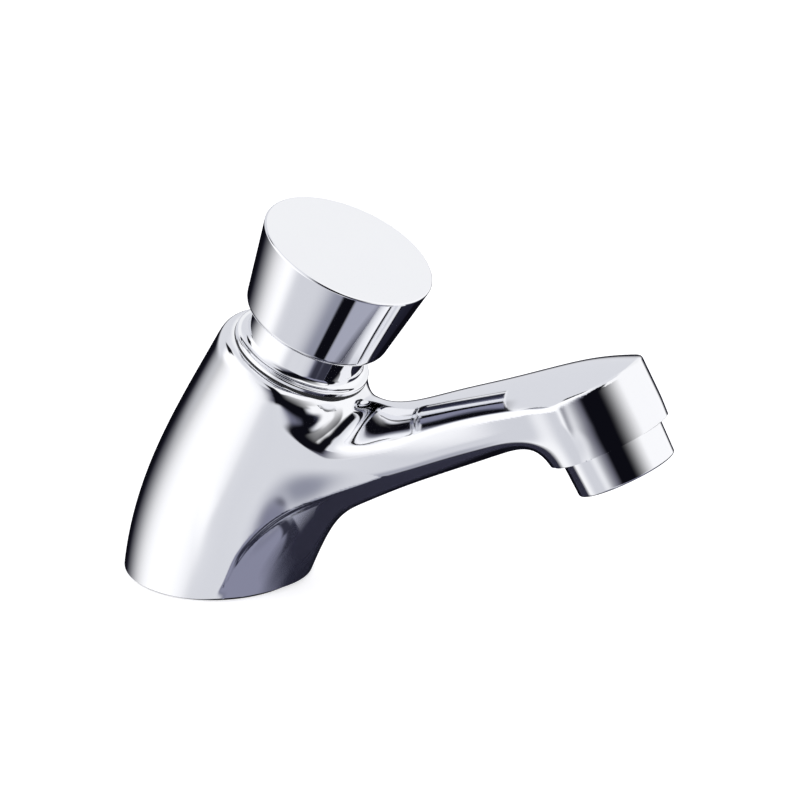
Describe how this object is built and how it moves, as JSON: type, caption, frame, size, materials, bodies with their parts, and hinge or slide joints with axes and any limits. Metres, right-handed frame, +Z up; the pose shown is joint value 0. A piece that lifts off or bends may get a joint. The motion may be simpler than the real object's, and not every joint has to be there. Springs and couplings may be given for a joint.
{
  "type": "self-closing basin tap",
  "caption": "Deck-mounted basin tap with a leaning body, a slanted push button that closes by itself, a rising spout with an aerator, and a threaded tail with washers and backnut",
  "frame": {"origin": "centre of the base's underside, on the top of the basin deck, on the axis of the inlet", "axes": "+Z up out of the deck, +X along the spout, and the tap is symmetric about the XZ plane, which is its mirror plane"},
  "size_m": [0.1535, 0.05, 0.159],
  "materials": {
    "chrome_body": "bright chrome plate on cast brass",
    "chrome_button": "bright chrome plate",
    "chrome_collar": "bright chrome plate on turned brass",
    "chrome_outlet": "bright chrome plate on turned brass",
    "brass": "turned brass",
    "steel": "plain stainless steel",
    "rubber": "black rubber",
    "white_plastic": "moulded, satin",
    "grey_plastic": "moulded, satin"
  },
  "bodies": {
    "root": {"body": "chrome_body", "collar": "chrome_collar", "aerator_housing": "chrome_outlet", "cartridge_housing": "brass", "housing_o_ring": "rubber", "head_o_ring": "rubber", "gland": "brass", "gland_seal": "rubber", "return_spring": "steel", "base_gasket": "rubber", "inlet_shank": "brass", "shank_o_ring": "rubber", "deck_washer": "rubber", "clamp_washer": "steel", "backnut": "brass", "inlet_strainer": "grey_plastic", "aerator_gasket": "rubber", "aerator_insert": "white_plastic", "aerator_screen": "steel"},
    "button": {"push_button": "chrome_button", "lock_nut": "brass", "spindle": "steel", "dash_piston": "white_plastic", "piston_lip_seal": "rubber", "valve_washer": "rubber", "valve_disc": "brass", "valve_nut": "steel"}
  },
  "joints": [
    {"name": "button_press", "type": "slide", "parent": "root", "child": "button", "axis": [-0.4226, 0, -0.9063], "range_m": [0, 0.006], "stiffness_N_per_m": 1500, "springref_m": -0.012, "deforming": ["return_spring"]}
  ]
}
